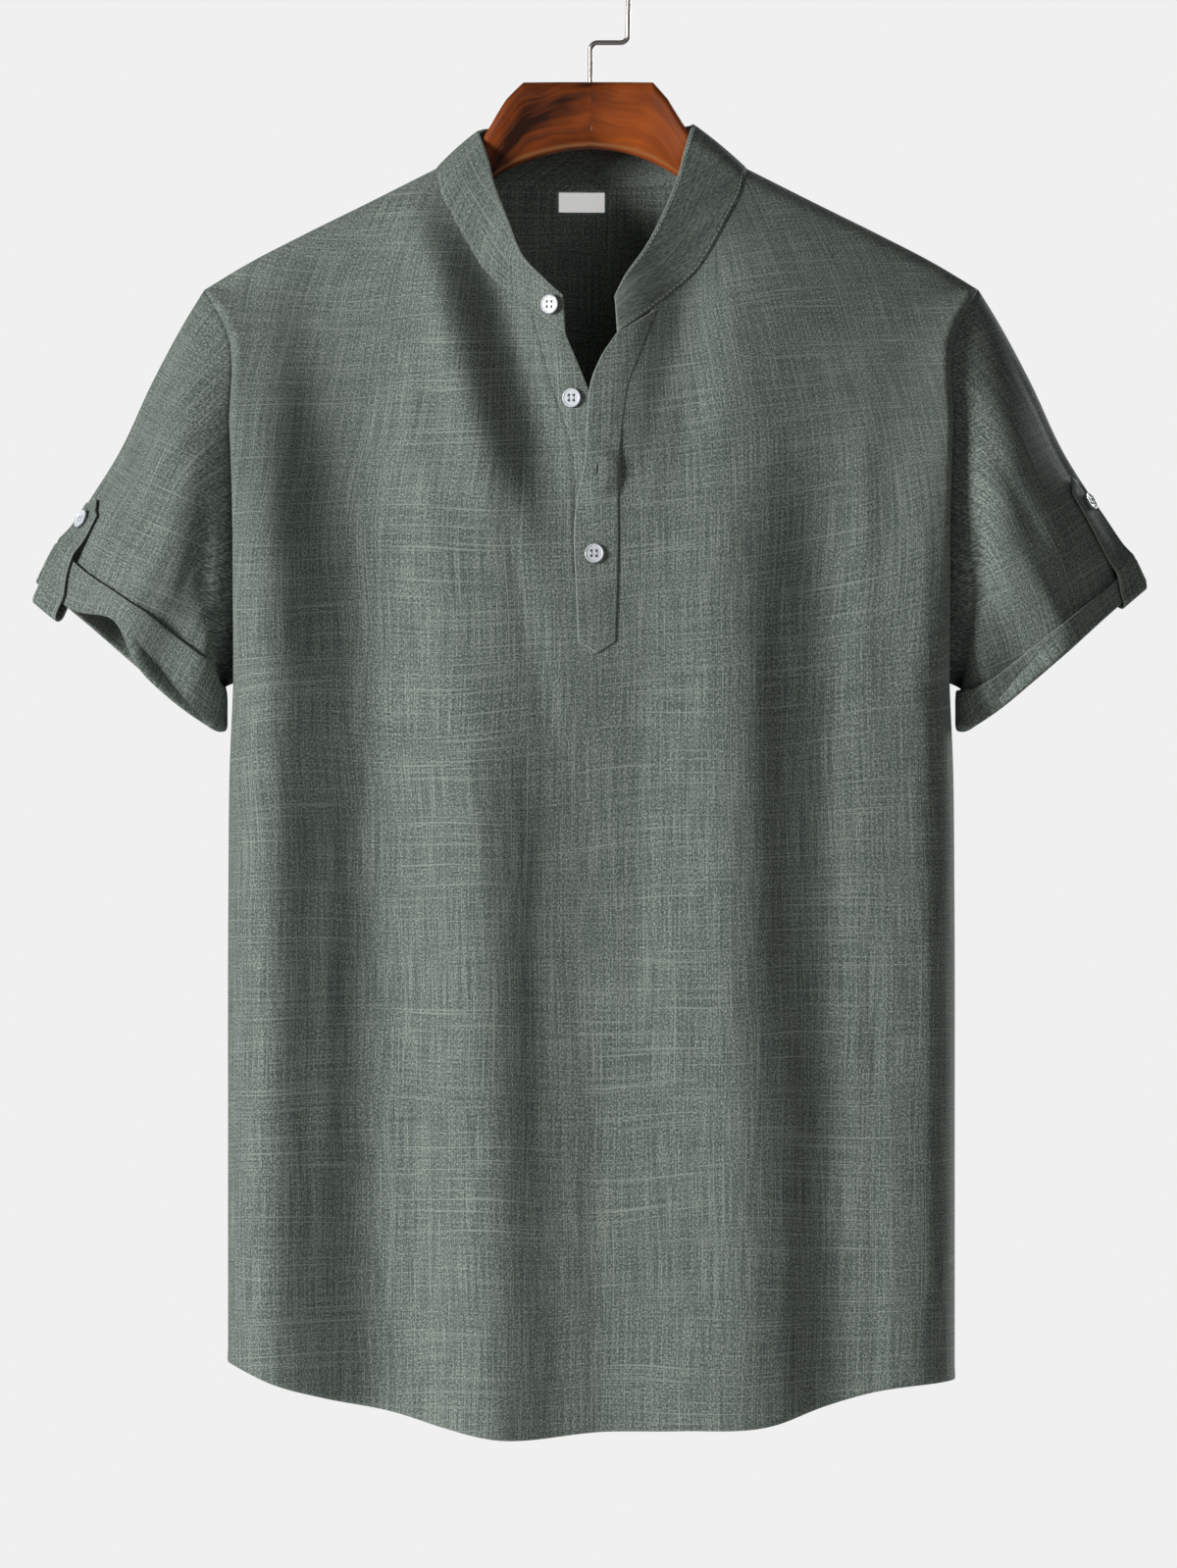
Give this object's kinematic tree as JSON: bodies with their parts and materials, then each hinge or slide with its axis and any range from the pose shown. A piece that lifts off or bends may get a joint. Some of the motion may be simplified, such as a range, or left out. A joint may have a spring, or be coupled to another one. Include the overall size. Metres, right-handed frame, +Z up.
{
  "type": "henley shirt on a hanger",
  "caption": "Short-sleeved henley shirt with a band collar, buttoned placket and roll-up cuff tabs, hanging on a wooden hanger with a wire hook.",
  "frame": {"origin": "point inside the hanger's hook that rests on a rail or a peg", "axes": "+Z up along the hanging garment, -Y out of the shirt's front, +X toward the wearer's left side"},
  "size_m": [0.6515, 0.1681, 0.8662],
  "materials": {
    "cloth": "matt grey-green slub weave",
    "band_cloth": "matt grey-green slub weave, doubled",
    "label": "smooth white woven tape",
    "button": "white, polished",
    "dark_wood": "dark red-brown varnish",
    "brown_wood": "brown varnish",
    "wire": "bright drawn wire"
  },
  "bodies": {
    "root": {"front": "cloth", "back": "cloth", "sleeve_right": "cloth", "sleeve_left": "cloth", "collar_band": "band_cloth", "placket_top": "band_cloth", "placket_under": "band_cloth", "tab_right": "band_cloth", "tab_left": "band_cloth", "neck_label": "label", "button_collar": "button", "button_placket_1": "button", "button_placket_2": "button", "button_placket_3": "button", "button_tab_right": "button", "button_tab_left": "button", "hanger_right": "dark_wood", "hanger_left": "brown_wood", "hook": "wire"}
  },
  "joints": []
}
